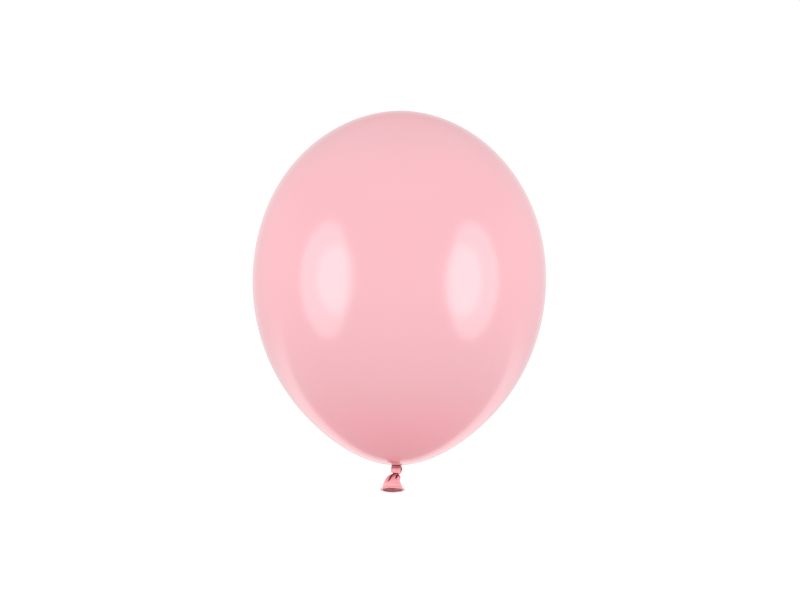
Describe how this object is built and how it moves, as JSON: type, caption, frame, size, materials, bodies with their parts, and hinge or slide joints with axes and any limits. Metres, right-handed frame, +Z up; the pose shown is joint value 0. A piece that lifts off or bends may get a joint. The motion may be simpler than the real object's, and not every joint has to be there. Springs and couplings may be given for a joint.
{
  "type": "latex balloon",
  "caption": "Inflated round latex party balloon, knotted in its own neck, with a flared open tail and a rolled rim below the knot.",
  "frame": {"origin": "tie point: the middle of the soft throat between the envelope and the knot, on the balloon's axis", "axes": "+Z up the balloon's axis to the crown, -Y towards the side that the tail's mouth leans to, +X towards the knot's crossing strand"},
  "size_m": [0.3, 0.3, 0.3907],
  "materials": {
    "stretched_latex": "pale pink stretched latex, soft gloss",
    "relaxed_latex": "deeper pink relaxed latex, satin",
    "rolled_latex": "deeper pink latex rolled into a bead, satin"
  },
  "bodies": {
    "envelope": {"envelope": "stretched_latex"},
    "throat": {"neck_throat": "relaxed_latex"},
    "knot": {"knot_core": "relaxed_latex", "knot_wrap": "relaxed_latex", "knot_tuck": "relaxed_latex"},
    "gather": {"tail_gather": "relaxed_latex"},
    "tail": {"tail_skirt": "relaxed_latex", "rolled_rim": "rolled_latex"}
  },
  "joints": [
    {"name": "neck_side_bend", "type": "hinge", "parent": "envelope", "child": "throat", "pos_m": [0, 0, 0], "axis": [0, 1, 0], "range_deg": [-15, 15], "stiffness_Nm_per_rad": 0.003},
    {"name": "neck_fore_bend", "type": "hinge", "parent": "throat", "child": "knot", "pos_m": [0, 0, 0], "axis": [1, 0, 0], "range_deg": [-15, 15], "stiffness_Nm_per_rad": 0.003},
    {"name": "tail_side_bend", "type": "hinge", "parent": "knot", "child": "gather", "pos_m": [-0.0006, 0, -0.008], "axis": [0, 1, 0], "range_deg": [-25, 25], "stiffness_Nm_per_rad": 0.001},
    {"name": "tail_fore_bend", "type": "hinge", "parent": "gather", "child": "tail", "pos_m": [-0.0006, 0, -0.008], "axis": [1, 0, 0], "range_deg": [-20, 30], "stiffness_Nm_per_rad": 0.001}
  ]
}
